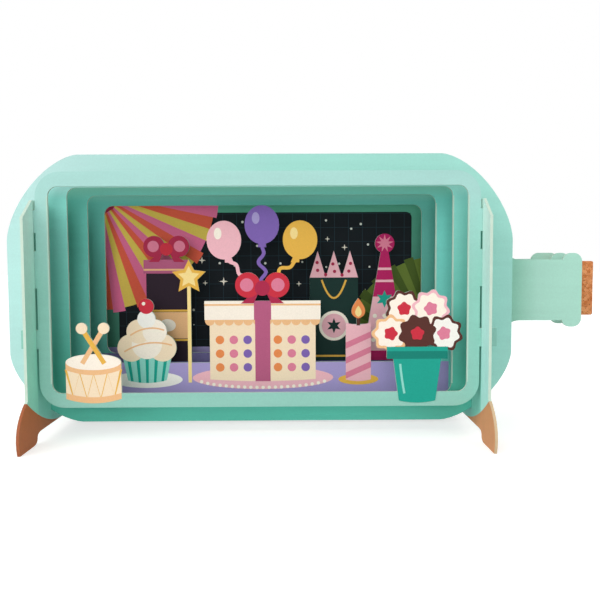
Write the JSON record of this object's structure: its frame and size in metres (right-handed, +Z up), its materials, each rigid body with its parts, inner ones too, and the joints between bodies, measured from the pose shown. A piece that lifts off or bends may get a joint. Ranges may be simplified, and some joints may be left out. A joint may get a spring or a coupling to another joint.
{
  "type": "greeting card",
  "caption": "Bottle-shaped stand-up greeting card: nested die-cut card layers with party figures, slotted into two footed stands.",
  "frame": {"origin": "middle of the card's box, on the table under it", "axes": "+X along the bottle to the cork, +Y from the front frame to the back panel, +Z up from the table"},
  "size_m": [0.2318, 0.0946, 0.1052],
  "materials": {
    "mint_card": "matte",
    "shade_card": "matte",
    "cork_card": "matte"
  },
  "bodies": {
    "root": {"front_frame": "mint_card", "bottle_front": "mint_card", "middle_frame": "mint_card", "rear_frame": "mint_card", "back_panel": "shade_card", "left_stand": "mint_card", "right_stand": "mint_card", "cork": "cork_card"}
  },
  "joints": []
}
